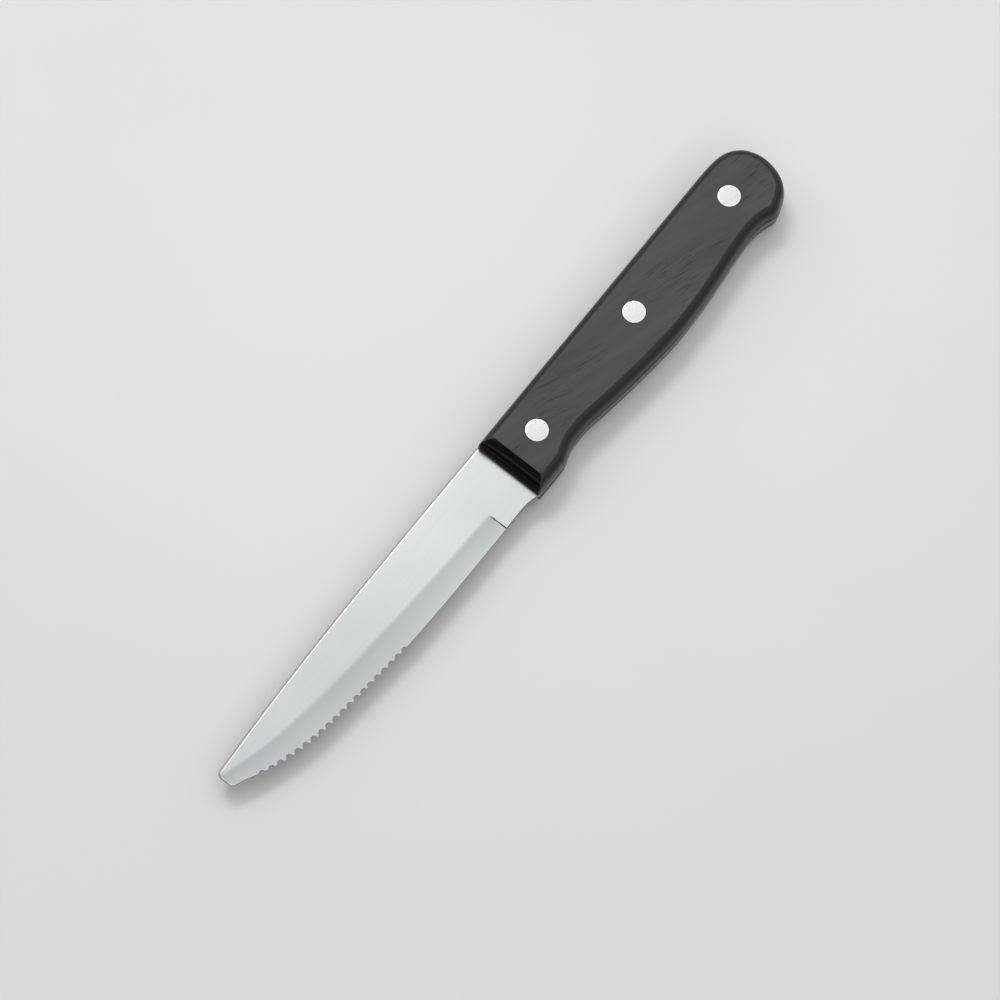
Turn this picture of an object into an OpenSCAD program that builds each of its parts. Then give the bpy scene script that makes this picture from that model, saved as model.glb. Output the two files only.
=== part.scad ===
// Steak knife with a full tang, two riveted scales and a round-ended serrated blade.
// The knife lies flat: tip towards -X, spine towards +Y, the lower scale's face on Z = 0.
// The origin is the middle of the knife's outline on that resting plane.

/* [Blade] */
// Length of the bare blade along its spine, from the tip to the scales
blade_l = 124.7; // [115:0.1:140]
// Height of the blade from its highest spine point to its cutting edge
blade_h = 22.5; // [21.5:0.1:24]
// Thickness of the blade and of its tang
blade_t = 1.8; // [1.4:0.1:2.4]
// Rise of the highest spine point above the back of the handle
spine_rise = 0.5; // [0.2:0.1:1.2]
// Radius of the upper corner of the blunt tip
tip_upper_r = 1.6; // [1:0.1:2]
// Radius of the lower corner of the blunt tip
tip_lower_r = 1.1; // [0.6:0.1:1.4]
// Length over which the heel curves down to the guard of the handle
flare_l = 7; // [6:0.1:10]

/* [Hollow grind] */
// Length of the unground stretch between the grind and the scales
ricasso_l = 14.2; // [12:0.1:18]
// Thickness left at the cutting edge
edge_t = 0.3; // [0.2:0.05:0.5]
// Depth of the hollow below a straight bevel
hollow_d = 0.12; // [0:0.01:0.14]
// Reach from the edge to the border at which the grind has its full depth
grind_h = 7.5; // [6.5:0.1:8.5]
// Length of the wall that ends the grind at the heel
plunge_l = 0.4; // [0.3:0.1:1]

/* [Serration] */
// Number of gullets
gullet_count = 20; // [12:1:22]
// Distance from one gullet to the next along the blade
gullet_pitch = 2.86; // [2.6:0.02:3]
// Radius of a gullet
gullet_r = 1.12; // [0.8:0.02:1.2]
// Depth of the deepest gullets
gullet_d = 1.2; // [1:0.05:1.3]
// Distance of the first gullet from the tip
gullet_start = 8.45; // [8:0.05:11]

/* [Handle] */
// Length of the handle along its back
handle_l = 126.3; // [118:0.1:132]
// Depth of the handle's belly below the cutting edge
belly_drop = 4.3; // [3.5:0.1:5]
// Depth of the handle's guard below the cutting edge
guard_drop = 1.5; // [1:0.1:2]
// Thickness of one scale
scale_t = 5.65; // [5:0.05:7]
// Radius of the long edges of a scale
edge_r = 3.2; // [2.4:0.1:3.3]
// Angle by which the sides of a scale lean inwards
side_lean = 6.5; // [0:0.5:8]
// Angle at which the long edges meet the face of a scale
edge_crease = 10; // [4:1:16]
// Run of the rounded nose of a scale along the handle
nose_l = 4.3; // [3.5:0.1:5]
// Angle by which the scales' front leans off square
nose_rake = -1.6; // [-2:0.1:2]

/* [Rivets] */
// Distance of the front rivet from the front of the handle
rivet_start = 13.8; // [13:0.1:16]
// Distance of the rear rivet from the end of the butt
rivet_end = 17.6; // [14:0.1:20]
// Depth of the row of rivets below the back of the handle
rivet_drop = 11.7; // [10.5:0.1:12.5]
// Diameter of a rivet's head
head_d = 7.2; // [6:0.1:8]
// Thickness of a rivet's head
head_t = 1.2; // [0.8:0.1:1.6]
// Outer diameter of a rivet's sleeve
sleeve_d = 4.4; // [4:0.1:5]
// Diameter of a rivet's post
post_d = 2.8; // [2.2:0.1:3]

/* [Fits] */
// Radial clearance of a rivet in the scales and the tang
rivet_clear = 0.05; // [0.02:0.01:0.1]
// Radial clearance of a post in its sleeve
post_clear = 0.02; // [0.01:0.01:0.05]
// Space left beyond the end of a post and of a sleeve
end_gap = 0.3; // [0.2:0.1:0.6]

/* [Hidden] */

steel = "gainsboro";
stained_wood = "#3b393b";
rivet_steel = "whitesmoke";

overall_l = blade_l + handle_l;
tip_x = -overall_l / 2;
front_x = tip_x + blade_l;
handle_w = blade_h - spine_rise + belly_drop;
back_y = (handle_w - spine_rise) / 2;
spine_y = back_y + spine_rise;
guard_y = spine_y - blade_h - guard_drop;
rivet_pitch = (handle_l - rivet_start - rivet_end) / 2;
blade_z = scale_t;
handle_t = 2 * scale_t + blade_t;
mid_z = handle_t / 2;
side_h = scale_t - edge_r * (cos(edge_crease) - sin(side_lean));
side_run = side_h * tan(side_lean);
plunge_x = front_x - ricasso_l;
// Overrun of every cut past the faces that it passes through
overrun = 1;

// Steps of the curve between two outline points
curve_steps = 4;
// Steps of a rounded edge
round_steps = 6;
// Steps across the hollow grind
hollow_steps = 4;
// Sections of the blade along its ground stretch and along its flared heel
ground_sections = 40;
flare_sections = 7;

// Spine of the blade: share of the blade's length, drop as a share of its height
spine_shares = [[0, 0.1], [0.05, 0.087], [0.11, 0.068], [0.17, 0.051], [0.23, 0.037],
                [0.29, 0.026], [0.35, 0.017], [0.41, 0.01], [0.53, 0.002], [0.65, 0],
                [0.78, 0.002], [0.9, 0.005], [1, 0.009]];
// Cutting edge, in the same shares
edge_shares = [[0, 0.36], [0.03, 0.426], [0.055, 0.5], [0.085, 0.584], [0.125, 0.676],
               [0.17, 0.756], [0.22, 0.813], [0.27, 0.85], [0.33, 0.884], [0.4, 0.92],
               [0.46, 0.95], [0.52, 0.972], [0.63, 0.991], [0.75, 1], [1, 1]];
// Upper border of the grind, in the same shares
border_shares = [[0, 0.165], [0.03, 0.215], [0.09, 0.317], [0.155, 0.402], [0.215, 0.458],
                 [0.275, 0.502], [0.335, 0.54], [0.43, 0.587], [0.52, 0.625], [0.62, 0.657],
                 [0.715, 0.688], [0.885, 0.727], [1, 0.755]];
// Depth of the gullets: share of the way along their row, share of the greatest depth
gullet_shares = [[0, 0.5], [0.07, 0.65], [0.15, 0.92], [0.24, 1], [0.5, 0.87], [1, 0.65]];
// Places on the straight guard as shares of the handle's length
guard_shares = [0.03, 0.06, 0.085];
// Lower edge, butt and back of the handle: share of its length, depth as a share of its width
outline_shares = [[0.103, 0.884], [0.124, 0.857], [0.143, 0.833],
                  [0.172, 0.825], [0.207, 0.833], [0.246, 0.861], [0.296, 0.897],
                  [0.355, 0.934], [0.415, 0.965], [0.475, 0.99], [0.53, 1], [0.585, 0.994],
                  [0.645, 0.978], [0.704, 0.953], [0.763, 0.925], [0.813, 0.911], [0.842, 0.917],
                  [0.866, 0.937], [0.885, 0.969], [0.8945, 0.985], [0.904, 0.991],
                  [0.915, 0.981], [0.934, 0.949], [0.95, 0.919], [0.966, 0.869], [0.981, 0.786],
                  [0.993, 0.665], [1, 0.51], [0.998, 0.36], [0.988, 0.227], [0.972, 0.129],
                  [0.951, 0.06], [0.926, 0.022], [0.897, 0.006], [0.862, 0]];
// Place on the back from which the whole outline can be seen
hub_share = 0.5;

// Value of a smooth curve through a list of [place, value] rows
function row_below(rows, s, i = 0) =
    i >= len(rows) - 2 || s < rows[i + 1][0] ? i : row_below(rows, s, i + 1);
function row_slope(rows, i) =
    let (a = rows[max(i - 1, 0)], b = rows[min(i + 1, len(rows) - 1)])
    (b[1] - a[1]) / (b[0] - a[0]);
function curve_at(rows, s) =
    let (i = row_below(rows, s), p = rows[i], q = rows[i + 1], w = q[0] - p[0], t = (s - p[0]) / w)
    p[1] * (1 + 2 * t) * pow(1 - t, 2) + row_slope(rows, i) * w * t * pow(1 - t, 2)
    + q[1] * t * t * (3 - 2 * t) + row_slope(rows, i + 1) * w * t * t * (t - 1);

// Points of a smooth path through a list of points
function bend(a, b, c, d, t) =
    (2 * b + (c - a) * t + (2 * a - 5 * b + 4 * c - d) * t * t + (3 * b - a - 3 * c + d) * pow(t, 3)) / 2;
function smooth_path(points) =
    let (last = len(points) - 1)
    [for (i = [0:last - 1], k = [0:curve_steps - 1])
        bend(points[max(i - 1, 0)], points[i], points[i + 1], points[min(i + 2, last)], k / curve_steps),
     points[last]];

// Outline of the handle from the guard round the butt to the back, starting at start_x
function handle_path(start_x) =
    concat([[start_x, guard_y]],
           smooth_path(concat(
               [for (share = guard_shares) [front_x + share * handle_l, guard_y]],
               [for (p = outline_shares) [front_x + p[0] * handle_l, back_y - p[1] * handle_w]])),
           [[front_x + hub_share * handle_l, back_y], [start_x, back_y]]);

// The same path drawn in by a distance, square to its run
function inward(path, i) =
    let (run = path[min(i + 1, len(path) - 1)] - path[max(i - 1, 0)])
    [-run[1], run[0]] / norm(run);
function drawn_in(path, distance) =
    [for (i = [0:len(path) - 1]) path[i] + inward(path, i) * distance];

// Solid skinned over a stack of rings with equal numbers of points, whose ends fan out from
// the point numbered hub
module skin(rings, hub) {
    rows = len(rings);
    cols = len(rings[0]);
    sides = [for (r = [0:rows - 2], c = [0:cols - 1])
        let (a = r * cols + c, b = r * cols + (c + 1) % cols)
        each [[a, a + cols, b], [b, a + cols, b + cols]]];
    first_cap = [for (c = [0:cols - 1]) (hub + c) % cols];
    last_cap = [for (c = [cols:-1:1]) (rows - 1) * cols + (hub + c) % cols];
    polyhedron([for (ring = rings) each ring], concat(sides, [first_cap, last_cap]));
}

// Places along the blade, and its spine, edge and grind there
function corner_drop(run, r) = run < r ? r - sqrt(r * r - pow(r - run, 2)) : 0;
function spine_at(x) =
    spine_y - curve_at(spine_shares, (x - tip_x) / blade_l) * blade_h
    - corner_drop(x - tip_x, tip_upper_r);
flare_x = front_x - flare_l;
function flare_drop(x) = x > flare_x ? guard_drop * pow((x - flare_x) / flare_l, 2) : 0;
function edge_at(x) =
    spine_y - curve_at(edge_shares, (x - tip_x) / blade_l) * blade_h
    + corner_drop(x - tip_x, tip_lower_r) - flare_drop(x);
function border_at(x) =
    min(spine_y - curve_at(border_shares, (x - tip_x) / blade_l) * blade_h,
        spine_at(x) - blade_t / 2);
// Half of the thickness at a share of the way from the edge to the border. The grind is
// shallower where its reach is short, near the tip
function ground_half(share, reach) =
    let (depth = (blade_t - edge_t) / 2 * (1 - share) + hollow_d * 4 * share * (1 - share))
    blade_t / 2 - depth * min(reach / grind_h, 1);

// One section of the blade: edge, grind, flat and rounded spine, below and then above
function half_section(x, is_ground) =
    let (edge = edge_at(x), border = border_at(x), spine = spine_at(x), r = blade_t / 2)
    concat([for (k = [0:hollow_steps]) let (s = k / hollow_steps)
               [edge + (border - edge) * s, is_ground ? ground_half(s, border - edge) : r]],
           [for (k = [0:round_steps - 1]) let (a = 90 * k / round_steps)
               [spine - r + r * sin(a), r * cos(a)]]);
function section(x, is_ground) =
    let (half = half_section(x, is_ground), last = len(half) - 1)
    concat([for (p = half) [x, p[0], -p[1]]],
           [[x, spine_at(x), 0]],
           [for (k = [last:-1:0]) [x, half[k][0], half[k][1]]]);

// Sections crowd together at the tip, where the outline turns fastest
ground_end_x = plunge_x - plunge_l;
crowding = 1.8;
ground_places = [for (k = [0:ground_sections])
    tip_x + (ground_end_x - tip_x) * pow(k / ground_sections, crowding)];
flare_places = [for (k = [0:flare_sections]) flare_x + flare_l * k / flare_sections];

module ground_blade() {
    skin(concat([for (x = ground_places) section(x, true)],
                [section(plunge_x, false)],
                [for (x = flare_places) section(x, false)]),
         hollow_steps + 1 + round_steps);
}

// The tang has the handle's outline and a root that runs on into the blade
module tang() {
    root_l = flare_l;
    root_inset = blade_t;
    translate([0, 0, -blade_t / 2]) linear_extrude(blade_t) {
        polygon(handle_path(front_x));
        translate([front_x - root_l, spine_y - blade_h + root_inset])
            square([root_l + root_inset, blade_h - spine_rise - 2 * root_inset]);
    }
}

function rivet_place(i) = [front_x + rivet_start + i * rivet_pitch, back_y - rivet_drop];
module at_rivets() {
    for (i = [0:2]) translate(rivet_place(i)) children();
}

module blade() {
    bore_d = sleeve_d + 2 * rivet_clear;
    color(steel) translate([0, 0, mid_z]) difference() {
        union() {
            ground_blade();
            tang();
        }
        translate([0, 0, -mid_z]) at_rivets() cylinder(h = handle_t, d = bore_d, $fn = 48);
        for (i = [0:gullet_count - 1]) {
            x = tip_x + gullet_start + i * gullet_pitch;
            depth = gullet_d * curve_at(gullet_shares, i / (gullet_count - 1));
            translate([x, edge_at(x) + depth - gullet_r, -mid_z])
                cylinder(h = handle_t, r = gullet_r, $fn = 24);
        }
    }
}

// One scale, its flat inner side on Z = 0 and its face upwards
module scale_body() {
    start_x = front_x - nose_l;
    path = handle_path(start_x);
    turn = 90 - edge_crease - side_lean;
    function ring(inset, z) = [for (p = drawn_in(path, inset)) [p[0], p[1], z]];
    skin(concat([ring(0, 0)],
                [for (k = [0:round_steps]) let (a = side_lean + turn * k / round_steps)
                    ring(side_run + edge_r * (cos(side_lean) - cos(a)),
                         side_h + edge_r * (sin(a) - sin(side_lean)))]),
         len(path) - 2);
}

// Space that the rounded nose leaves to the scale
module nose_space() {
    nose_r = (pow(nose_l, 2) + pow(scale_t, 2)) / (2 * nose_l);
    side = 4 * handle_w;
    translate([front_x, back_y, 0]) rotate([0, 0, nose_rake]) {
        translate([nose_r, side / 2, 0]) rotate([90, 0, 0]) cylinder(h = side, r = nose_r, $fn = 96);
        translate([nose_r, -side / 2, 0]) cube([2 * handle_l, side, 2 * scale_t]);
    }
}

module drilled_scale() {
    head_bore_d = head_d + 2 * rivet_clear;
    sleeve_bore_d = sleeve_d + 2 * rivet_clear;
    color(stained_wood) difference() {
        intersection() {
            scale_body();
            nose_space();
        }
        translate([0, 0, -overrun]) at_rivets()
            cylinder(h = scale_t + 2 * overrun, d = sleeve_bore_d, $fn = 48);
        translate([0, 0, scale_t - head_t]) at_rivets()
            cylinder(h = head_t + overrun, d = head_bore_d, $fn = 64);
    }
}
module upper_scale() {
    translate([0, 0, blade_z + blade_t]) drilled_scale();
}
module lower_scale() {
    translate([0, 0, blade_z]) mirror([0, 0, 1]) drilled_scale();
}

// The sleeve's head lies flush in the lower face, the post's head in the upper face
sleeve_top = handle_t - head_t - end_gap;
sleeve_floor = head_t + end_gap;
module rivet_sleeve(i) {
    color(rivet_steel) translate(rivet_place(i)) difference() {
        union() {
            cylinder(h = head_t, d = head_d, $fn = 64);
            cylinder(h = sleeve_top, d = sleeve_d, $fn = 48);
        }
        translate([0, 0, sleeve_floor])
            cylinder(h = handle_t, d = post_d + 2 * post_clear, $fn = 32);
    }
}
module rivet_post(i) {
    post_end = sleeve_floor + end_gap;
    color(rivet_steel) translate(rivet_place(i)) {
        translate([0, 0, handle_t - head_t]) cylinder(h = head_t, d = head_d, $fn = 64);
        translate([0, 0, post_end]) cylinder(h = handle_t - head_t / 2 - post_end, d = post_d, $fn = 32);
    }
}

blade();
upper_scale();
lower_scale();
rivet_post(0);  // front_rivet_post
rivet_sleeve(0);  // front_rivet_sleeve
rivet_post(1);  // middle_rivet_post
rivet_sleeve(1);  // middle_rivet_sleeve
rivet_post(2);  // rear_rivet_post
rivet_sleeve(2);  // rear_rivet_sleeve
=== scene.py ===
import math

import bpy
import numpy as np
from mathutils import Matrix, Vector
from mathutils.geometry import tessellate_polygon


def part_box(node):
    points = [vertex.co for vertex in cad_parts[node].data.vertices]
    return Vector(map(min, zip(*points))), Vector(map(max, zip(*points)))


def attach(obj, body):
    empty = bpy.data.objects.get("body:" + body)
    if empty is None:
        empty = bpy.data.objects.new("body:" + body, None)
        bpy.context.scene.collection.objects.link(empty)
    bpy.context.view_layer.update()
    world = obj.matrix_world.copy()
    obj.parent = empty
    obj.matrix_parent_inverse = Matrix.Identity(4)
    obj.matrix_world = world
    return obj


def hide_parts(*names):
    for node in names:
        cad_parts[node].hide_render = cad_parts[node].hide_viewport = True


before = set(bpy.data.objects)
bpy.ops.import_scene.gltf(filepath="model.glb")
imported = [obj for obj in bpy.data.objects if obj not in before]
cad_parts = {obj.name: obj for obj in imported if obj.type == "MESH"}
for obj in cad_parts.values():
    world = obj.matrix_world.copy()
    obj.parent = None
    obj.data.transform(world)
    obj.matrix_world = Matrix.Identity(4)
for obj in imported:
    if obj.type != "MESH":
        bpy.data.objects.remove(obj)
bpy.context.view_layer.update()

# A millimetre in Blender's metres
MM = 0.001


def box_mm(node):
    """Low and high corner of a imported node, in millimetres."""
    low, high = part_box(node)
    return np.array(low) / MM, np.array(high) / MM


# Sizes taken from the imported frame, in millimetres as all sizes below
blade_low, blade_high = box_mm("blade")
scale_high = box_mm("upper_scale")[1]
tip_x, butt_x = blade_low[0], blade_high[0]
spine_y, belly_y = blade_high[1], blade_low[1]
back_y = scale_high[1]
tang_low_z, tang_high_z = blade_low[2], blade_high[2]
face_z = scale_high[2]
head_top_z = box_mm("front_rivet_post")[1][2]

# Sizes of the blade that its box doesn't give
blade_l = 124.7
blade_h = 22.5
tip_upper_r = 1.6
tip_lower_r = 1.1
flare_l = 7
guard_drop = 1.5
ricasso_l = 14.2
edge_t = 0.3
hollow_d = 0.12
plunge_l = 0.22
grind_h = 7.5
border_blend = 0.09
border_reach = 1.1
spine_crown_t = 0.3
gullet_count = 20
gullet_pitch = 2.86
gullet_r = 1.12
gullet_d = 1.2
gullet_start = 8.45
tooth_blend = 0.12

# Sizes of the scales that their boxes don't give
edge_r = 3.2
side_lean = math.radians(6.5)
edge_crease = math.radians(10)
nose_l = 4.3
nose_rake = math.radians(-1.6)
foot_corner_r = 0.4
face_corner_r = 0.6
beak_inset = 2
sleeve_bore_r = 2.25
head_clear = 0.05
rim_chamfer = 0.1

# Sizes of the rivets that their boxes don't give
head_t = 1.2
rim_r = 0.16
dome_h = 0.02
post_r = 1.4
socket_r = 1.42
sleeve_r = 2.2
post_end_gap = 0.3

# Sizes and places worked out from those above
mid_z = (tang_low_z + tang_high_z) / 2
blade_t = tang_high_z - tang_low_z
handle_w = back_y - belly_y
scale_t = face_z - tang_high_z
front_x = tip_x + blade_l
handle_l = butt_x - front_x
edge_y = spine_y - blade_h
guard_y = edge_y - guard_drop
plunge_x = front_x - ricasso_l
flare_x = front_x - flare_l
side_h = scale_t - edge_r * (math.cos(edge_crease) - math.sin(side_lean))
head_seat_h = head_top_z - head_t - tang_high_z

# Outlines: share of the length, then drop as a share of the height
SPINE_SHARES = [(0, 0.1), (0.05, 0.087), (0.11, 0.068), (0.17, 0.051), (0.23, 0.037),
                (0.29, 0.026), (0.35, 0.017), (0.41, 0.01), (0.53, 0.002), (0.65, 0),
                (0.78, 0.002), (0.9, 0.005), (1, 0.009)]
EDGE_SHARES = [(0, 0.36), (0.03, 0.426), (0.055, 0.5), (0.085, 0.584), (0.125, 0.676),
               (0.17, 0.756), (0.22, 0.813), (0.27, 0.85), (0.33, 0.884), (0.4, 0.92),
               (0.46, 0.95), (0.52, 0.972), (0.63, 0.991), (0.75, 1), (1, 1)]
BORDER_SHARES = [(0, 0.165), (0.03, 0.215), (0.09, 0.317), (0.155, 0.402), (0.215, 0.458),
                 (0.275, 0.502), (0.335, 0.54), (0.43, 0.587), (0.52, 0.625), (0.62, 0.657),
                 (0.715, 0.688), (0.885, 0.727), (1, 0.755)]
HANDLE_SHARES = [(0.103, 0.884), (0.124, 0.857), (0.143, 0.833), (0.172, 0.825), (0.207, 0.833),
                 (0.246, 0.861), (0.296, 0.897), (0.355, 0.934), (0.415, 0.965), (0.475, 0.99),
                 (0.53, 1), (0.585, 0.994), (0.645, 0.978), (0.704, 0.953), (0.763, 0.925),
                 (0.813, 0.911), (0.842, 0.917), (0.866, 0.937), (0.885, 0.969),
                 (0.8945, 0.985), (0.904, 0.991), (0.915, 0.981), (0.934, 0.949), (0.95, 0.919),
                 (0.966, 0.869), (0.981, 0.786), (0.993, 0.665), (1, 0.51), (0.998, 0.36),
                 (0.988, 0.227), (0.972, 0.129), (0.951, 0.06), (0.926, 0.022), (0.897, 0.006),
                 (0.862, 0)]

# Depth of the gullets along their row, as a share of the full depth
GULLET_SHARES = [(0, 0.5), (0.07, 0.65), (0.15, 0.92), (0.24, 1), (0.5, 0.87), (1, 0.65)]

# Places along the handle, as shares of its length: the straight guard and the beak of the butt
GUARD_SHARES = [0.06, 0.085]
GUARD_BLEND_SHARE = 0.04
BEAK_START_SHARE = 0.84
BEAK_BLEND_SHARE = 0.04


# Curves


def curve_at(rows, place):
    """Value of a smooth curve through (place, value) rows."""
    places, values = np.array(rows, float).T
    last = len(places) - 1
    before = np.maximum(np.arange(last + 1) - 1, 0)
    after = np.minimum(np.arange(last + 1) + 1, last)
    slopes = (values[after] - values[before]) / (places[after] - places[before])
    i = np.clip(np.searchsorted(places, place, side="right") - 1, 0, last - 1)
    run = places[i + 1] - places[i]
    t = (place - places[i]) / run
    return (values[i] * (1 + 2 * t) * (1 - t) ** 2 + slopes[i] * run * t * (1 - t) ** 2
            + values[i + 1] * t * t * (3 - 2 * t) + slopes[i + 1] * run * t * t * (t - 1))


def spline_point(a, b, c, d, t):
    """Point at a share of the way from b to c, on a smooth curve through four points."""
    return (2 * b + (c - a) * t + (2 * a - 5 * b + 4 * c - d) * t ** 2
            + (3 * b - a - 3 * c + d) * t ** 3) / 2


def smooth_step(t):
    t = np.clip(t, 0, 1)
    return t * t * (3 - 2 * t)


def soft_min(a, b, blend):
    """The lower of two values, rounded over where they meet."""
    near = np.maximum(blend - np.abs(a - b), 0) / blend
    return np.minimum(a, b) - near * near * blend / 4


def soft_max(a, b, blend):
    return -soft_min(-a, -b, blend)


def corner_drop(run, radius):
    """How far a corner of this radius lies inside its end, at a run along it."""
    inside = np.clip(radius - run, 0, radius)
    return radius - np.sqrt(radius ** 2 - inside ** 2)


def rows_between(low, high, count):
    """Rows from low up to, but not at, high."""
    return [low + (high - low) * k / count for k in range(count)]


# Meshes


def mesh_object(name, points, faces, material, sharp_angle=30):
    """A smooth-shaded piece with sharp edges past an angle in degrees."""
    mesh = bpy.data.meshes.new(name)
    mesh.from_pydata([tuple(p) for p in np.asarray(points) * MM], [], faces)
    mesh.validate()
    mesh.shade_smooth()
    mesh.set_sharp_from_angle(angle=math.radians(sharp_angle))
    mesh.materials.append(material)
    piece = bpy.data.objects.new(name, mesh)
    bpy.context.scene.collection.objects.link(piece)
    return piece


def skin_faces(rows, cols, start=0):
    """Quads between rings that follow each other, each ring a closed loop."""
    faces = []
    for r in range(rows - 1):
        low = start + r * cols
        for c in range(cols):
            d = (c + 1) % cols
            faces.append((low + c, low + d, low + cols + d, low + cols + c))
    return faces


def place_piece(piece, node):
    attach(piece, "root")
    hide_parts(node)


# Blade

TIP_ROWS = 14
TIP_STEP = 0.3
TOOTH_STEP = 0.08
TOOTH_MARGIN = 0.5
PLAIN_STEP = 0.8
PLUNGE_ROWS = 7
PLUNGE_MARGINS = [0.3, 0.9]
HEEL_ROWS = 26
HEEL_MARGIN = 4
GRIND_ROWS = 14
BORDER_ROWS = 10
FLAT_ROWS = 5
SHOULDER_STEP = 0.12
SPINE_ROWS = 11
SPINE_ROW_POWER = 1.7
SHOULDER_POWER = 4
CROWN_POWER = 1.35
BLADE_SHARP_ANGLE = 28


def spine_at(x):
    """Height of the spine, with the tip's upper corner."""
    share = curve_at(SPINE_SHARES, (x - tip_x) / blade_l)
    return spine_y - share * blade_h - corner_drop(x - tip_x, tip_upper_r)


def edge_at(x):
    """Height of the edge as it would be without its gullets."""
    share = curve_at(EDGE_SHARES, (x - tip_x) / blade_l)
    flare = guard_drop * np.clip((x - flare_x) / flare_l, 0, None) ** 2
    return spine_y - share * blade_h + corner_drop(x - tip_x, tip_lower_r) - flare


def border_at(x):
    """Where the grind meets the flat of the blade."""
    share = curve_at(BORDER_SHARES, (x - tip_x) / blade_l)
    return np.minimum(spine_y - share * blade_h, spine_at(x) - blade_t / 2)


def serrated_edge_at(x):
    """Height of the edge with its row of round gullets."""
    edge = edge_at(x)
    for i in range(gullet_count):
        centre_x = tip_x + gullet_start + i * gullet_pitch
        depth = gullet_d * curve_at(GULLET_SHARES, i / (gullet_count - 1))
        centre_y = edge_at(np.array([centre_x]))[0] + depth - gullet_r
        inside = gullet_r ** 2 - (x - centre_x) ** 2
        top = np.where(inside > 0, centre_y + np.sqrt(np.maximum(inside, 0)), edge - gullet_r)
        edge = soft_max(edge, top, tooth_blend)
    return edge


def ground_half(share, reach):
    """Half of the thickness at a share of the way from the edge to the border.
    The grind is shallower where it reaches less of the blade's height, near the tip."""
    depth = (blade_t - edge_t) / 2 * (1 - share) + hollow_d * 4 * share * (1 - share)
    return blade_t / 2 - depth * np.minimum(reach / grind_h, 1)


def blade_places():
    """Places along the blade, close together at the tip, the teeth and the plunge."""
    tip = tip_upper_r * (1 - np.cos(np.linspace(0, math.pi / 2, TIP_ROWS)))
    teeth_start = gullet_start - gullet_r - TOOTH_MARGIN
    teeth_end = gullet_start + (gullet_count - 1) * gullet_pitch + gullet_r + TOOTH_MARGIN
    plunge = blade_l - ricasso_l
    parts = [tip,
             np.arange(tip_upper_r + TIP_STEP, teeth_start, TIP_STEP),
             np.arange(teeth_start, teeth_end, TOOTH_STEP),
             np.arange(teeth_end + PLAIN_STEP / 2, plunge - plunge_l - PLAIN_STEP / 4, PLAIN_STEP),
             plunge + np.linspace(-plunge_l, 0, PLUNGE_ROWS),
             plunge + np.array(PLUNGE_MARGINS),
             np.linspace(blade_l - flare_l - HEEL_MARGIN, blade_l, HEEL_ROWS)]
    return tip_x + np.concatenate(parts)


def spine_rounding():
    """Rise above the shoulder and half of the thickness, as shares, up to the crown."""
    crown = spine_crown_t / blade_t
    thin = 1 - (1 - crown) * np.linspace(0, 1, SPINE_ROWS) ** SPINE_ROW_POWER
    rise = (1 - thin ** SHOULDER_POWER) ** (1 / CROWN_POWER)
    return rise / rise[-1], thin


def blade_rings():
    """Closed sections of the blade: lower side from the edge to the spine, then back above."""
    x = blade_places()
    edge, true_edge, spine, border = serrated_edge_at(x), edge_at(x), spine_at(x), border_at(x)
    shoulder = spine - blade_t / 2
    low = np.maximum(border - border_reach, edge + (border - edge) / 2)
    high = np.minimum(border + border_reach, border + (shoulder - border) / 2)
    heights = rows_between(edge, low, GRIND_ROWS)
    heights += rows_between(low, high, BORDER_ROWS)
    heights += rows_between(high, shoulder, FLAT_ROWS)
    heights.append(shoulder - np.minimum(SHOULDER_STEP, (shoulder - high) / FLAT_ROWS / 2))
    heights = np.array(heights)
    share = (heights - true_edge) / (border - true_edge)
    ground = soft_min(ground_half(share, border - true_edge), np.full_like(share, blade_t / 2),
                      border_blend)
    plunge = smooth_step((x - (plunge_x - plunge_l)) / plunge_l)
    halves = ground + (blade_t / 2 - ground) * plunge

    # Near the tip the flat is gone and the spine's rounding starts from the grind
    rise, thin = spine_rounding()
    side_y = np.vstack([heights, shoulder + blade_t / 2 * rise[:, None]])
    side_z = np.vstack([halves, halves[-1] * thin[:, None]])
    across = np.broadcast_to(x, side_y.shape)
    lower = np.stack([across, side_y, mid_z - side_z], -1)
    upper = np.stack([across, side_y, mid_z + side_z], -1)[::-1]
    return np.concatenate([lower, upper]).transpose(1, 0, 2)


# Outline and tang of the handle

PATH_STEPS = 8
BACK_POINTS = 40
TANG_START = 0.02
TANG_STEP = 0.8
TANG_END_L = 24
TANG_END_ROWS = 60
TANG_END_GAP = 0.004


def handle_path():
    """Outline of the handle from the guard round the butt to the back."""
    rows = [(front_x + share * handle_l, guard_y) for share in GUARD_SHARES]
    rows += [(front_x + share * handle_l, back_y - drop * handle_w) for share, drop in HANDLE_SHARES]
    rows = np.array(rows)
    last = len(rows) - 1
    path = [(front_x, guard_y)]
    for i in range(last):
        corners = rows[max(i - 1, 0)], rows[i], rows[i + 1], rows[min(i + 2, last)]
        path += [spline_point(*corners, step / PATH_STEPS) for step in range(PATH_STEPS)]
    path.append(rows[last])
    path += [(x, back_y) for x in np.linspace(rows[last][0], front_x, BACK_POINTS)[1:]]
    return np.array(path, float)


def tang_rings(cols):
    """Sections of the tang, whose edges run flush with the scales, close together at the butt."""
    path = handle_path()
    turn = int(np.argmax(path[:, 0]))
    belly, back = path[:turn + 1], path[turn:][::-1]
    body = np.arange(front_x + TANG_START, butt_x - TANG_END_L, TANG_STEP)
    end = butt_x - TANG_END_L * (1 - np.sin(np.linspace(0, math.pi / 2, TANG_END_ROWS)))
    rings = []
    for x in np.concatenate([body, end[:-1], [butt_x - TANG_END_GAP]]):
        side = np.linspace(np.interp(x, *belly.T), np.interp(x, *back.T), cols)
        ring = [(x, y, tang_low_z) for y in side]
        ring += [(x, y, tang_high_z) for y in side[::-1]]
        rings.append(ring)
    return np.array(rings)


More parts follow.
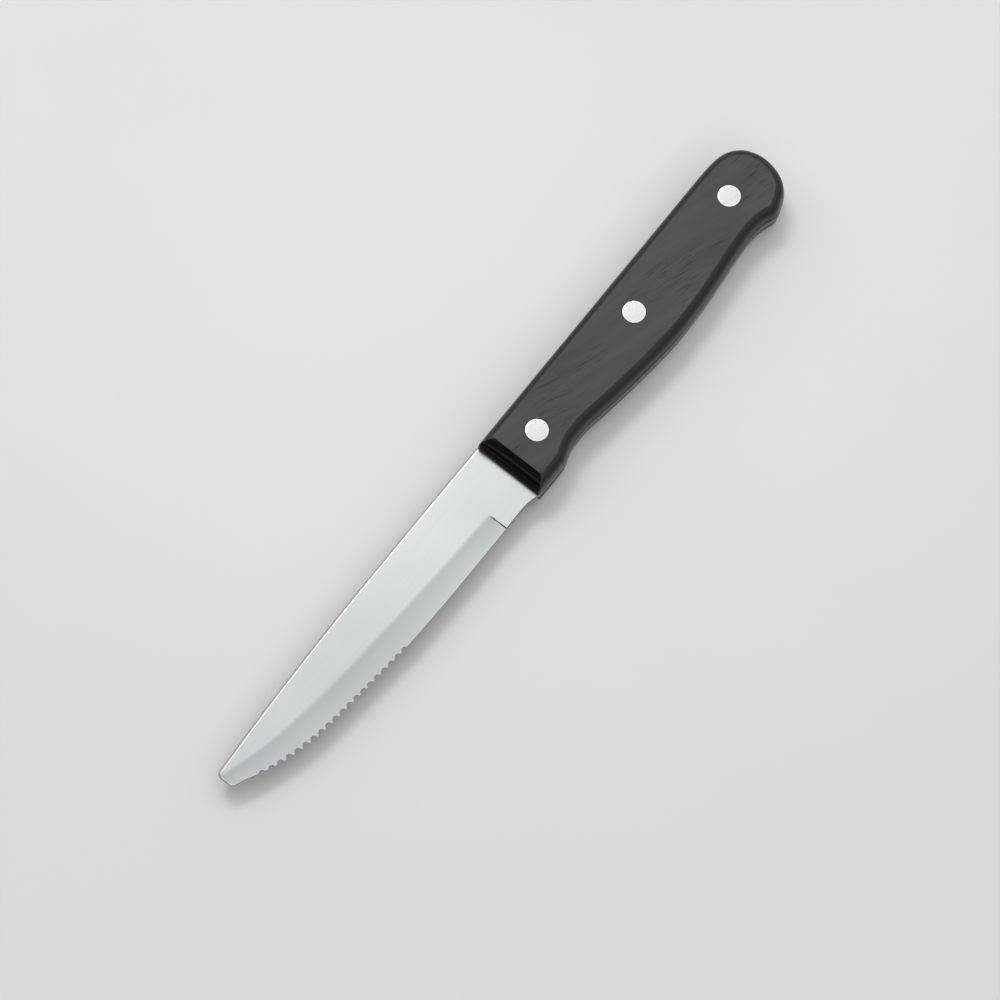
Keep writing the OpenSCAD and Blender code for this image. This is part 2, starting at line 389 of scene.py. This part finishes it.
def make_blade(material, edge_material):
    """The blade and its tang as one skin, with the tang's sides in a material of their own."""
    rings = blade_rings()
    blade_rows, cols = rings.shape[:2]
    rings = np.concatenate([rings, tang_rings(cols // 2)])
    rows = len(rings)
    faces = [face[::-1] for face in skin_faces(rows, cols)]
    faces.append(tuple(range(cols)))
    faces.append(tuple(reversed(range((rows - 1) * cols, rows * cols))))
    piece = mesh_object("blade_with_tang", rings.reshape(-1, 3), faces, material, BLADE_SHARP_ANGLE)
    piece.data.materials.append(edge_material)
    # The end faces at the tip and at the butt take the darker edge material too
    ends = [len(faces) - 2, len(faces) - 1]
    sides = [i for i in range(blade_rows * cols, (rows - 1) * cols) if (i + 1) % (cols // 2) == 0]
    for i in ends + sides:
        piece.data.polygons[i].material_index = 1
    place_piece(piece, "blade")


# Scales

RIVET_NAMES = ["front", "middle", "rear"]

# Height of the nose's crown, the power of its curve and what the back adds to it, which fades
NOSE_CROWN_SHARE = 1.08
NOSE_POWER = 2.7
NOSE_BACK_POWER = 3.3
NOSE_POWER_FADE = 2.4

FRONT_POINTS = 44
BEAK_PASSES = 30
BEAK_PULL = 0.5
WALL_STEPS = 12
ROUND_STEPS = 14
HOLE_POINTS = 72
SCALE_SHARP_ANGLE = 8
TOUCH = 1e-6


def rivet_spots():
    """Centre and head radius of each rivet."""
    spots = []
    for name in RIVET_NAMES:
        low, high = box_mm(name + "_rivet_post")
        spots.append(((low + high) / 2, (high[0] - low[0]) / 2))
    return spots


def inward(path):
    """Direction to the left of an open path at each of its points."""
    run = np.empty_like(path)
    run[1:-1] = path[2:] - path[:-2]
    run[0], run[-1] = path[1] - path[0], path[-1] - path[-2]
    side = np.stack([-run[:, 1], run[:, 0]], -1)
    return side / np.linalg.norm(side, axis=1, keepdims=True)


def nose_run(height, y):
    """How far the front lies back at a height above the tang. It is squarer at the back."""
    power = NOSE_POWER + NOSE_BACK_POWER * np.exp((y - back_y) / NOSE_POWER_FADE)
    top = NOSE_CROWN_SHARE * scale_t

    def fall(level):
        return 1 - (1 - (level / top) ** power) ** (1 / power)

    return nose_l * fall(min(height, scale_t)) / fall(scale_t)


def side_inset(height):
    """How far a scale's side lies inside its foot: a leaning wall, then the rounded edge."""
    if height <= side_h:
        return height * math.tan(side_lean)
    rise = (height - side_h) / edge_r + math.sin(side_lean)
    return side_h * math.tan(side_lean) + edge_r * (math.cos(side_lean) - math.sqrt(1 - rise ** 2))


def scale_side(height, inset):
    """Side of a scale from the guard round the butt to the back. The wall under the guard stands
    upright up to its rounded edge, the rest of it leans inwards, and the beak softens."""
    path = handle_path()
    along = (path[:, 0] - front_x) / handle_l
    past_guard = smooth_step((along - GUARD_SHARES[-1]) / GUARD_BLEND_SHARE)
    at_guard = (1 - past_guard) * (path[:, 1] < 0)
    upright = at_guard * side_h * math.tan(side_lean) * min(height / side_h, 1)
    path += inward(path) * (inset - upright)[:, None]
    at_beak = smooth_step((along - BEAK_START_SHARE) / BEAK_BLEND_SHARE) * (path[:, 1] < 0)
    pull = at_beak * BEAK_PULL * min(inset / beak_inset, 1)
    for _ in range(BEAK_PASSES):
        middle = (path[:-2] + path[2:]) / 2
        path[1:-1] += (middle - path[1:-1]) * pull[1:-1, None]
    return path


def scale_ring(height):
    """One closed outline of a scale at a height above the tang: its side, then its front."""
    inset = side_inset(height)
    path = scale_side(height, inset)
    corner_r = foot_corner_r + (face_corner_r - foot_corner_r) * height / scale_t
    low_y, high_y = path[0, 1], path[-1, 1]

    def front_at(y):
        rounding = corner_drop(y - low_y, corner_r) + corner_drop(high_y - y, corner_r)
        return front_x + nose_run(height, y) + (back_y - y) * math.tan(nose_rake) + rounding

    path[0, 0] = front_at(low_y)
    back_count = int(np.sum(path[:, 1] >= back_y - inset - TOUCH))
    back_end = path[-back_count, 0]
    path[-back_count:, 0] = np.linspace(back_end, front_at(high_y), back_count)
    share = (1 - np.cos(np.linspace(0, math.pi, FRONT_POINTS + 2)[1:-1])) / 2
    y = high_y + (low_y - high_y) * share
    return np.vstack([path, np.stack([front_at(y), y], -1)])


def ring_at(outline, height):
    """Points of an outline, all at one height."""
    return np.column_stack([outline, np.full(len(outline), height)])


def circle(centre, radius):
    turn = np.linspace(0, 2 * math.pi, HOLE_POINTS, endpoint=False)
    return np.stack([centre[0] + radius * np.cos(turn), centre[1] + radius * np.sin(turn)], -1)


def scale_heights():
    """Heights above the tang: even up the wall, then even in angle round the edge."""
    heights = list(np.linspace(0, side_h, WALL_STEPS + 1))
    for angle in np.linspace(side_lean, math.pi / 2 - edge_crease, ROUND_STEPS + 1)[1:-1]:
        heights.append(side_h + edge_r * (math.sin(angle) - math.sin(side_lean)))
    return heights + [scale_t]


def cap_faces(points, loops, upward):
    """Triangles that fill an outer loop but not the loops inside it."""
    flat = [i for loop in loops for i in loop]
    faces = []
    for corners in tessellate_polygon([[Vector(points[i]) for i in loop] for loop in loops]):
        tri = tuple(flat[corner] for corner in corners)
        u, v = points[tri[1]] - points[tri[0]], points[tri[2]] - points[tri[0]]
        looks_up = u[0] * v[1] - u[1] * v[0] > 0
        faces.append(tri if looks_up == upward else tri[::-1])
    return faces


def make_scale(name, material, node, sign, inner_z):
    """A scale with its rounded edges and nose, and the stepped bores of its rivets."""
    rings = [ring_at(scale_ring(height), height) for height in scale_heights()]
    rows, cols = len(rings), len(rings[0])
    faces = skin_faces(rows, cols)
    feet, tops = [range(cols)], [range((rows - 1) * cols, rows * cols)]
    start = rows * cols
    for centre, head_r in rivet_spots():
        bore_r = head_r + head_clear
        bore = [(bore_r + rim_chamfer, scale_t), (bore_r, scale_t - rim_chamfer),
                (bore_r, head_seat_h), (sleeve_bore_r, head_seat_h), (sleeve_bore_r, 0)]
        rings += [ring_at(circle(centre, radius), height) for radius, height in bore]
        faces += skin_faces(len(bore), HOLE_POINTS, start)
        tops.append(range(start, start + HOLE_POINTS))
        start += len(bore) * HOLE_POINTS
        feet.append(range(start - HOLE_POINTS, start))
    points = np.concatenate(rings)
    faces += cap_faces(points, tops, True) + cap_faces(points, feet, False)
    points[:, 2] = inner_z + sign * points[:, 2]
    if sign < 0:
        faces = [face[::-1] for face in faces]
    place_piece(mesh_object(name, points, faces, material, SCALE_SHARP_ANGLE), node)


# Rivets

TURN_POINTS = 96
RIM_STEPS = 5
DOME_SHARES = [0.87, 0.75, 0.5, 0.25, 0]
RIVET_SHARP_ANGLE = 35


def turned_piece(name, profile, centre, material):
    """A closed turned solid from a profile of (radius, z) that starts and ends on the axis."""
    turn = np.linspace(0, 2 * math.pi, TURN_POINTS, endpoint=False)
    points, rings = [], []
    for radius, z in profile:
        if radius == 0:
            rings.append([len(points)])
            points.append((centre[0], centre[1], z))
            continue
        rings.append(list(range(len(points), len(points) + TURN_POINTS)))
        for t in turn:
            points.append((centre[0] + radius * math.cos(t), centre[1] + radius * math.sin(t), z))
    faces = []
    for a, b in zip(rings, rings[1:]):
        for c in range(TURN_POINTS):
            d = (c + 1) % TURN_POINTS
            if len(a) == 1:
                faces.append((a[0], b[d], b[c]))
            elif len(b) == 1:
                faces.append((a[c], a[d], b[0]))
            else:
                faces.append((a[c], a[d], b[d], b[c]))
    return mesh_object(name, points, faces, material, RIVET_SHARP_ANGLE)


def head_profile(radius, base_z, top_z, sign):
    """Rim and face of a head, from its flat underside out to the middle of its face."""
    rows = [(radius, base_z)]
    for angle in np.linspace(0, math.pi / 2, RIM_STEPS + 1):
        rows.append((radius - rim_r * (1 - math.cos(angle)),
                     top_z - sign * (rim_r - rim_r * math.sin(angle) + dome_h)))
    for share in DOME_SHARES:
        rows.append((radius * share, top_z - sign * dome_h * share ** 2))
    return rows


def make_rivet_half(name, node, profile, spot, materials):
    """One half of a rivet, whose head has its rim in a material of its own, painted lighter as a
    highlight.
    """
    centre, head_r = spot
    piece = turned_piece(name, profile, centre, materials[0])
    piece.data.materials.append(materials[1])
    for face in piece.data.polygons:
        x, y, _ = face.center / MM
        # The rim takes the lighter material: a painted highlight
        if math.hypot(x - centre[0], y - centre[1]) > head_r * DOME_SHARES[0]:
            face.material_index = 1
    place_piece(piece, node)


def make_rivets(*materials):
    """A post from above and a sleeve from below at each spot. The materials are for the turned metal
    and for the rims of the heads, which carry a painted highlight."""
    for name, spot in zip(RIVET_NAMES, rivet_spots()):
        post, sleeve = name + "_rivet_post", name + "_rivet_sleeve"
        end_z, face_top_z = (corner[2] for corner in box_mm(post))
        seat_z = face_top_z - head_t
        profile = [(0, end_z), (post_r, end_z), (post_r, seat_z)]
        profile += head_profile(spot[1], seat_z, face_top_z, 1)
        make_rivet_half(name + "_rivet_head", post, profile, spot, materials)
        low_z, high_z = (corner[2] for corner in box_mm(sleeve))
        seat_z = low_z + head_t
        bottom_z = end_z - post_end_gap
        profile = head_profile(spot[1], seat_z, low_z, -1)[::-1]
        profile += [(sleeve_r, seat_z), (sleeve_r, high_z), (socket_r, high_z), (socket_r, bottom_z),
                    (0, bottom_z)]
        make_rivet_half(name + "_rivet_socket", sleeve, profile, spot, materials)


# Materials: colours from dark to light

STEEL_COLOURS = (0.314, 0.331, 0.34), (0.35, 0.37, 0.38)
TANG_EDGE_COLOURS = (0.17, 0.17, 0.175), (0.27, 0.27, 0.275)
RIVET_COLOURS = (0.41, 0.403, 0.408), (0.58, 0.57, 0.576)
SANDED_COLOURS = (0.02, 0.017, 0.02), (0.0403, 0.0355, 0.0398)
POLISHED_COLOURS = (0.0022, 0.002, 0.0021), (0.004, 0.0037, 0.0038)
PORE_COLOUR = (0.008, 0.007, 0.008)
TABLE_COLOURS = (0.634, 0.634, 0.64), (0.69, 0.69, 0.696)

# Brightness of the rivets' metal, and of the rims of their heads, which are painted lighter as a
# highlight
RIVET_LEVEL = 0.745
PAINTED_RIM_HIGHLIGHT_LEVEL = 0.95

# Painted light and shade along the blade, standing in for how its reflection brightens and dims:
# distance from the tip to the start and end of each drift, tone before and after
STEEL_PAINTED_LIGHT_AND_SHADE = [(26, 47, 0.41, 0.05), (55, 90, 0, 0.54), (92, 111, 0, -0.5)]

# Wood: turn and waver of its grain, how dark and rough its pores are, how rough its sides and its
# nose are, and how the polish of the nose and the sanding of the face fade out
GRAIN_TURN = math.radians(17)
GRAIN_WAVER = 1.3
PORE_DARKNESS = 0.6
PORE_ROUGHNESS = 0.12
SIDE_ROUGHNESS = 0.36
NOSE_ROUGHNESS = 0.16
NOSE_FADE = 1.5
SANDED_DEPTH = 0.02
SANDED_FADE = 0.015

# Table, with painted light: the way in which it gets lighter, then the start, the end and the tone
# at each, for its painted rise towards the light that way and for its painted fall into shade
# outwards
TABLE_SLOPE = (0.79, 0.61)
TABLE_PAINTED_LIGHT_RISE = (-170, 110, 0.1, 0.9)
TABLE_PAINTED_FALLOFF = (60, 190, 0, 0.45)
MOTTLE_CONTRAST = 0.3


class Nodes:
    """Short calls that add shader nodes to one material or world."""

    def __init__(self, owner):
        owner.use_nodes = True
        self.tree = owner.node_tree
        self.tree.nodes.clear()

    def new(self, kind, inputs=(), **settings):
        node = self.tree.nodes.new(kind)
        for key, value in settings.items():
            setattr(node, key, value)
        for key, value in dict(inputs).items():
            if isinstance(value, bpy.types.NodeSocket):
                self.tree.links.new(value, node.inputs[key])
            else:
                node.inputs[key].default_value = value
        return node

    def compute(self, operation, a, b=0.0, c=0.0):
        return self.new("ShaderNodeMath", {0: a, 1: b, 2: c}, operation=operation).outputs[0]

    def add(self, a, b):
        return self.compute("ADD", a, b)

    def times(self, a, b):
        return self.compute("MULTIPLY", a, b)

    def away_from(self, value, middle):
        return self.compute("ABSOLUTE", self.compute("SUBTRACT", value, middle))

    def mapped(self, vector, scale, turn=0.0, shift=(0, 0, 0)):
        """Coordinates scaled along each axis, turned round z and shifted."""
        return self.new("ShaderNodeMapping", {"Vector": vector, "Scale": scale, "Location": shift,
                                              "Rotation": (0, 0, turn)}).outputs[0]

    def noise(self, vector, detail=3.0, rough=0.5):
        return self.new("ShaderNodeTexNoise", {"Vector": vector, "Scale": 1.0, "Detail": detail,
                                               "Roughness": rough}).outputs["Fac"]

    def fit(self, value, low, high, out_low=0.0, out_high=1.0, smooth=False):
        kind = "SMOOTHSTEP" if smooth else "LINEAR"
        return self.new("ShaderNodeMapRange", {"Value": value, "From Min": low, "From Max": high,
                                               "To Min": out_low, "To Max": out_high},
                        interpolation_type=kind).outputs["Result"]

    def ease(self, value, low, high, out_low=0.0, out_high=1.0):
        return self.fit(value, low, high, out_low, out_high, smooth=True)

    def spread(self, noise, low, high):
        """Noise stretched from low to high. Most of it lies between 0.3 and 0.7."""
        return self.fit(noise, 0.3, 0.7, low, high)

    def colour(self, factor, ends):
        """Colour between two others, each an output or three numbers."""
        low, high = (e if isinstance(e, bpy.types.NodeSocket) else (*e, 1) for e in ends)
        return self.new("ShaderNodeMix", {0: factor, 6: low, 7: high}, data_type="RGBA").outputs[2]

    def mix(self, factor, low, high):
        return self.new("ShaderNodeMix", {0: factor, 2: low, 3: high}).outputs[0]

    def coordinates(self, kind):
        return self.new("ShaderNodeTexCoord").outputs[kind]

    def object_mm(self):
        """Object coordinates in millimetres."""
        return self.mapped(self.coordinates("Object"), (1 / MM,) * 3)

    def split(self, vector):
        return self.new("ShaderNodeSeparateXYZ", {0: vector}).outputs

    def bump(self, height, strength, depth):
        """Normal of a relief whose depth is in millimetres."""
        return self.new("ShaderNodeBump", {"Height": height, "Strength": strength,
                                           "Distance": depth * MM}).outputs["Normal"]

    def surface(self, inputs):
        shader = self.new("ShaderNodeBsdfPrincipled", inputs)
        self.new("ShaderNodeOutputMaterial", {0: shader.outputs[0]})


def steel_material():
    """Steel brushed along the blade, its tone painted lighter and darker along its length as light
    and shade of its reflection.
    """
    material = bpy.data.materials.new("brushed_blade_steel")
    n = Nodes(material)
    mm = n.object_mm()
    brushing = n.noise(n.mapped(mm, (0.05, 5, 5)), detail=4.0, rough=0.6)
    streaks = n.noise(n.mapped(mm, (0.02, 1.1, 1.1), shift=(7, 3, 1)), rough=0.55)
    clouds = n.noise(n.mapped(mm, (0.05, 0.09, 0.09), shift=(3, 9, 2)), detail=2.0)
    tone = n.add(n.spread(brushing, -0.25, 0.25), n.spread(streaks, -0.2, 0.2))
    tone = n.times(n.add(tone, n.spread(clouds, 0.3, 0.7)), 0.5)
    x = n.split(mm)[0]
    # Painted light and shade: the tone drifts darker and lighter along the blade
    for start, end, before, after in STEEL_PAINTED_LIGHT_AND_SHADE:
        tone = n.add(tone, n.ease(x, tip_x + start, tip_x + end, before, after))
    rough = n.add(n.spread(brushing, 0.285, 0.325), n.spread(clouds, -0.01, 0.01))
    relief = n.add(brushing, n.times(streaks, 0.3))
    n.surface({"Base Color": n.colour(tone, STEEL_COLOURS), "Metallic": 1.0, "Roughness": rough,
               "Normal": n.bump(relief, strength=0.1, depth=0.02)})
    return material


def tang_edge_material():
    """The tang's edge, sanded together with the scales, and the ends of the blade: dull and darker
    than the blade.
    """
    material = bpy.data.materials.new("sanded_tang_edge")
    n = Nodes(material)
    grit = n.noise(n.mapped(n.object_mm(), (1.2, 1.2, 6)), rough=0.6)
    n.surface({"Base Color": n.colour(grit, TANG_EDGE_COLOURS), "Metallic": 1.0,
               "Roughness": n.spread(grit, 0.42, 0.52),
               "Normal": n.bump(grit, strength=0.2, depth=0.02)})
    return material


def rivet_material(name, level):
    """Speckled, lightly scratched metal. The level scales its brightness."""
    material = bpy.data.materials.new(name)
    n = Nodes(material)
    mm = n.object_mm()
    speckles = n.noise(n.mapped(mm, (2.6, 2.6, 2.6)), detail=4.0, rough=0.65)
    scratches = n.noise(n.mapped(mm, (0.5, 9, 2), turn=0.7))
    tone = n.add(n.spread(speckles, 0.1, 0.7), n.spread(scratches, -0.1, 0.3))
    colours = [tuple(level * part for part in colour) for colour in RIVET_COLOURS]
    relief = n.add(speckles, n.times(scratches, 0.5))
    n.surface({"Base Color": n.colour(tone, colours), "Metallic": 1.0,
               "Roughness": n.spread(speckles, 0.3, 0.38),
               "Normal": n.bump(relief, strength=0.3, depth=0.03)})
    return material


def wood_masks(n, mm):
    """Masks of the polished nose and of the sanded face."""
    x, _, z = n.split(mm)
    normal_x = n.split(n.coordinates("Normal"))[0]
    nose_end = float(front_x + nose_l)
    nose = n.times(n.ease(normal_x, -0.3, -0.1, 1, 0),
                   n.fit(x, nose_end, nose_end + NOSE_FADE, 1, 0))
    sanded_start = float(face_z - mid_z) - SANDED_DEPTH
    face = n.fit(n.away_from(z, float(mid_z)), sanded_start, sanded_start + SANDED_FADE)
    return nose, face


def wood_material():
    """Black-stained wood: sanded satin on the face, finer on the sides, polished on the nose."""
    material = bpy.data.materials.new("black_stained_wood")
    n = Nodes(material)
    mm = n.object_mm()
    waver = n.noise(n.mapped(mm, (0.03, 0.03, 0.03)), detail=2.0)
    offset = n.new("ShaderNodeCombineXYZ", {1: n.spread(waver, -GRAIN_WAVER, GRAIN_WAVER)})
    grain = n.new("ShaderNodeVectorMath", {0: n.mapped(mm, (1, 1, 1), turn=GRAIN_TURN),
                                           1: offset.outputs[0]}, operation="ADD").outputs[0]
    pores = n.noise(n.mapped(grain, (0.16, 2.4, 1.2)), rough=0.55)
    fibres = n.noise(n.mapped(grain, (0.3, 7, 3), shift=(2, 5, 1)), rough=0.6)
    bands = n.noise(n.mapped(grain, (0.035, 0.22, 0.2), shift=(5, 1, 4)))
    patches = n.noise(n.mapped(mm, (0.045, 0.09, 0.09), shift=(1, 2, 8)), detail=1.0)
    open_pores = n.times(n.ease(pores, 0.52, 0.68), n.ease(patches, 0.42, 0.6, 0.1, 1))
    nose, face = wood_masks(n, mm)
    tone = n.add(n.spread(bands, 0.1, 0.9), n.spread(fibres, -0.2, 0.2))
    pore_tone = n.times(open_pores, PORE_DARKNESS)
    sanded = n.colour(pore_tone, (n.colour(tone, SANDED_COLOURS), PORE_COLOUR))
    colour = n.colour(face, (n.colour(tone, POLISHED_COLOURS), sanded))
    face_rough = n.add(n.spread(fibres, 0.47, 0.53), n.times(open_pores, PORE_ROUGHNESS))
    rough = n.mix(face, n.mix(nose, SIDE_ROUGHNESS, NOSE_ROUGHNESS), face_rough)
    relief = n.compute("SUBTRACT", n.times(fibres, 0.35), open_pores)
    n.surface({"Base Color": colour, "Roughness": rough, "Specular IOR Level": 0.4,
               "Normal": n.bump(relief, strength=0.3, depth=0.03)})
    return material


def floor_material():
    """Pale table with painted light: lighter towards the back and the butt, where the light comes
    from, and painted fainter far from the knife.
    """
    material = bpy.data.materials.new("pale_table")
    n = Nodes(material)
    mm = n.object_mm()
    mottle = n.compute("SUBTRACT", n.noise(n.mapped(mm, (0.02, 0.02, 0.02)), detail=2.0), 0.5)
    x, y, _ = n.split(mm)
    away = n.add(n.times(x, TABLE_SLOPE[0]), n.times(y, TABLE_SLOPE[1]))
    outwards = n.new("ShaderNodeVectorMath", {0: mm}, operation="LENGTH").outputs["Value"]
    # Painted light: the tone rises towards the back and the butt
    tone = n.add(n.times(mottle, MOTTLE_CONTRAST), n.ease(away, *TABLE_PAINTED_LIGHT_RISE))
    # Painted shade: the tone falls off far from the knife
    tone = n.compute("SUBTRACT", tone, n.ease(outwards, *TABLE_PAINTED_FALLOFF))
    n.surface({"Base Color": n.colour(tone, TABLE_COLOURS), "Roughness": 0.7})
    return material


# Stage, light and camera

FLOOR_HALF = 3000

# Studio air by direction: start and end along one axis, then the level or mask at each
AIR_BELOW_BACK = (-0.6, 0.05, 0.78, 1.135)
AIR_AT_BACK = (0.05, 0.25, 1, 0.935)
AIR_OVERHEAD = (0.35, 0.9, 0.76, 1.47)
CAMERA_SIDE = (0.1, -0.25, 0, 1)
DARK_FADE = (0.3, 0.6, 1, 0)
STRIP_FADE = (0.02, 0.07, 1, 0)

# Middle of the dark and of the strip, and the levels of both and of the air in the picture
DARK_Y = 0.15
STRIP_Z = 0.637
DARK_DEPTH = 0.95
STRIP_LEVEL = 0.8
SEEN_LEVEL = 0.75


def make_floor():
    points = [(x * FLOOR_HALF, y * FLOOR_HALF, 0) for x, y in ((-1, -1), (1, -1), (1, 1), (-1, 1))]
    floor = mesh_object("table_top", points, [(0, 1, 2, 3)], floor_material())


def make_world():
    """Studio air: brightest overhead, fainter on the edge's side and dark on the camera's side,
    where one pale strip draws the line on the nose."""
    world = bpy.data.worlds.new("studio")
    bpy.context.scene.world = world
    n = Nodes(world)
    x, y, z = n.split(n.coordinates("Generated"))
    air = n.times(n.ease(y, *AIR_BELOW_BACK), n.ease(z, *AIR_OVERHEAD))
    air = n.times(air, n.ease(y, *AIR_AT_BACK))
    behind = n.ease(x, *CAMERA_SIDE)
    dark = n.times(behind, n.ease(n.away_from(y, DARK_Y), *DARK_FADE))
    strip = n.times(behind, n.ease(n.away_from(z, STRIP_Z), *STRIP_FADE))
    light = n.times(air, n.compute("MULTIPLY_ADD", dark, -DARK_DEPTH, 1.0))
    light = n.compute("MULTIPLY_ADD", strip, STRIP_LEVEL, light)
    seen = n.new("ShaderNodeLightPath").outputs["Is Camera Ray"]
    background = n.new("ShaderNodeBackground", {"Color": (1, 1, 1, 1),
                                                "Strength": n.mix(seen, light, SEEN_LEVEL)})
    n.new("ShaderNodeOutputWorld", {0: background.outputs[0]})


def aim_object(name, data, back, place):
    """Adds a lamp or camera at a place, looking against the direction back."""
    holder = bpy.data.objects.new(name, data)
    bpy.context.scene.collection.objects.link(holder)
    holder.location = place
    holder.rotation_mode = "QUATERNION"
    holder.rotation_quaternion = (-back).to_track_quat("-Z", "Y")
    return holder


def make_softbox():
    """Key light from the spine's side and a little from the butt, longer along the knife."""
    azimuth = math.radians(32)
    elevation = math.radians(57)
    distance = 1500
    lamp = bpy.data.lights.new("softbox", "AREA")
    lamp.shape = "RECTANGLE"
    lamp.size = 600 * MM
    lamp.size_y = 300 * MM
    lamp.energy = 5.6
    level = math.cos(elevation)
    way = Vector((math.sin(azimuth) * level, math.cos(azimuth) * level, math.sin(elevation)))
    aim_object("softbox", lamp, way, way * distance * MM)


def make_camera():
    """Camera at the photograph's angle, looking down on the knife past its tip."""
    azimuth = math.radians(-52.25)
    elevation = math.radians(71)
    distance = 1186.6
    aim = Vector((-7.38, -0.77, 0))
    camera = bpy.data.cameras.new("camera")
    camera.sensor_width = 36
    camera.lens = 144
    camera.clip_start = 50 * MM
    camera.clip_end = 20000 * MM
    level = math.cos(elevation)
    back = Vector((math.sin(azimuth) * level, -math.cos(azimuth) * level, math.sin(elevation)))
    bpy.context.scene.camera = aim_object("camera", camera, back, (aim + back * distance) * MM)


make_camera()
make_floor()
make_world()
make_softbox()
make_blade(steel_material(), tang_edge_material())
wood = wood_material()
make_scale("upper_scale_wood", wood, "upper_scale", 1, tang_high_z)
make_scale("lower_scale_wood", wood, "lower_scale", -1, tang_low_z)
make_rivets(rivet_material("rivet_metal", RIVET_LEVEL), rivet_material("rim_painted_highlight", PAINTED_RIM_HIGHLIGHT_LEVEL))
bpy.context.scene.view_settings.view_transform = "Standard"
